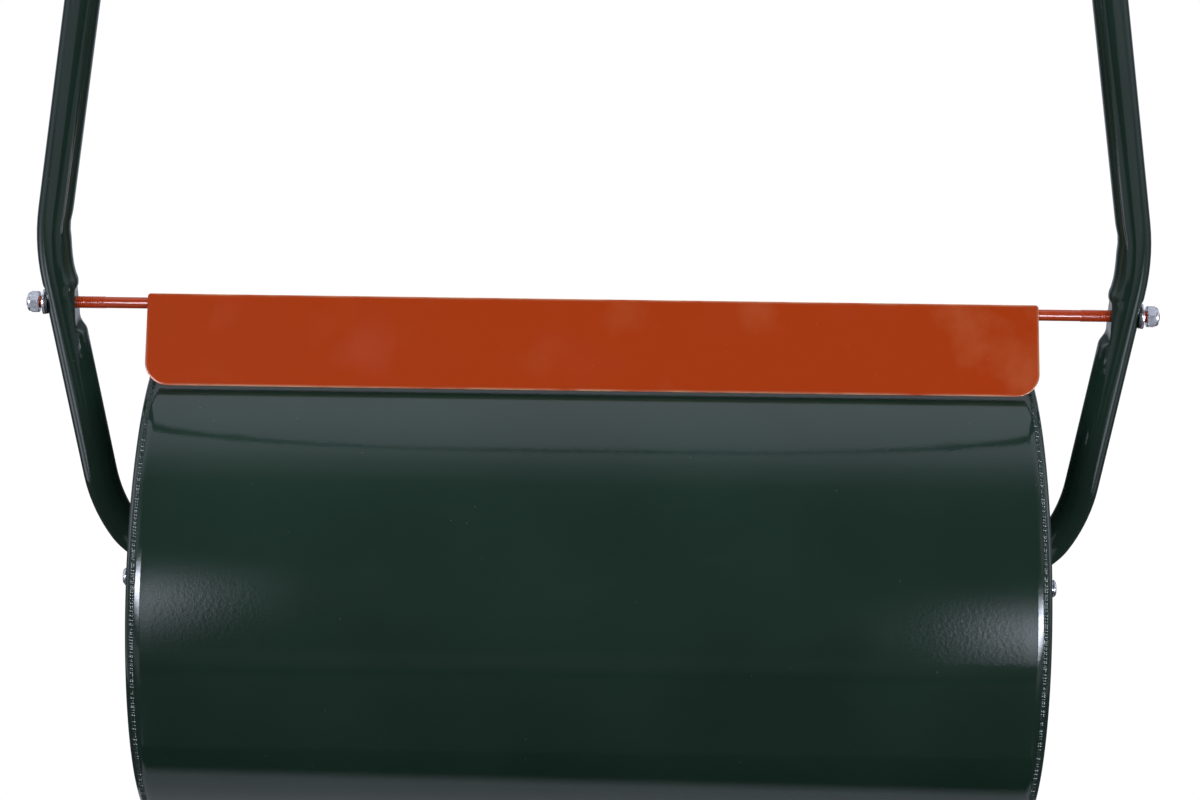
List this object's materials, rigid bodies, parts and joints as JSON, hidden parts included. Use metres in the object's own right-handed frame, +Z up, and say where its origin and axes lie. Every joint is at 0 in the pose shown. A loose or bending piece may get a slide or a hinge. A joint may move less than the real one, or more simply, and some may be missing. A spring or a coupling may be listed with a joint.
{
  "type": "lawn roller",
  "caption": "Push lawn roller: hollow ballast drum on a through axle, bent-tube U handle with a grip, and a hinged scraper blade above the drum.",
  "frame": {"origin": "on the ground under the middle of the axle, at the bottom centre of the bounding box", "axes": "+X along the axle, to the right for the person pushing; -Y towards that person; +Z up, along the upright handle"},
  "size_m": [0.726, 0.32, 1.426],
  "materials": {
    "green_enamel": "dark green gloss powder coat",
    "orange_enamel": "burnt orange gloss powder coat",
    "zinc_plate": "bright zinc plating",
    "bare_steel": "drawn steel, unpainted",
    "nylon": "natural moulded nylon",
    "black_plastic": "moulded polypropylene",
    "black_rubber": "moulded rubber"
  },
  "bodies": {
    "handle": {"axle_shaft": "zinc_plate", "thrust_washers": "zinc_plate", "axle_washers": "zinc_plate", "axle_nuts": "zinc_plate", "side_tube_left": "green_enamel", "side_tube_right": "green_enamel", "handle_bow": "green_enamel", "handle_grip": "black_rubber", "bow_bolts": "zinc_plate", "bow_washers": "zinc_plate", "bow_nuts": "zinc_plate"},
    "drum": {"drum_shell": "green_enamel", "end_head_left": "green_enamel", "end_head_right": "green_enamel", "hub_plate_left": "green_enamel", "hub_plate_right": "green_enamel", "axle_pipe": "bare_steel", "bush_left": "nylon", "bush_right": "nylon", "filler_socket": "green_enamel"},
    "plug": {"filler_plug": "black_plastic", "filler_seal": "black_rubber"},
    "scraper": {"scraper_blade": "orange_enamel", "scraper_rod": "orange_enamel", "scraper_rubber_washers": "black_rubber", "scraper_washers": "zinc_plate", "scraper_nuts": "zinc_plate"}
  },
  "joints": [
    {"name": "drum_roll", "type": "hinge", "parent": "handle", "child": "drum", "pos_m": [0, 0, 0.16], "axis": [1, 0, 0], "continuous": true},
    {"name": "scraper_tilt", "type": "hinge", "parent": "handle", "child": "scraper", "pos_m": [0, 0, 0.3614], "axis": [1, 0, 0], "range_deg": [-75, 0]},
    {"name": "plug_unscrew", "type": "slide", "parent": "drum", "child": "plug", "axis": [1, 0, 0], "range_m": [0, 0.04]}
  ]
}
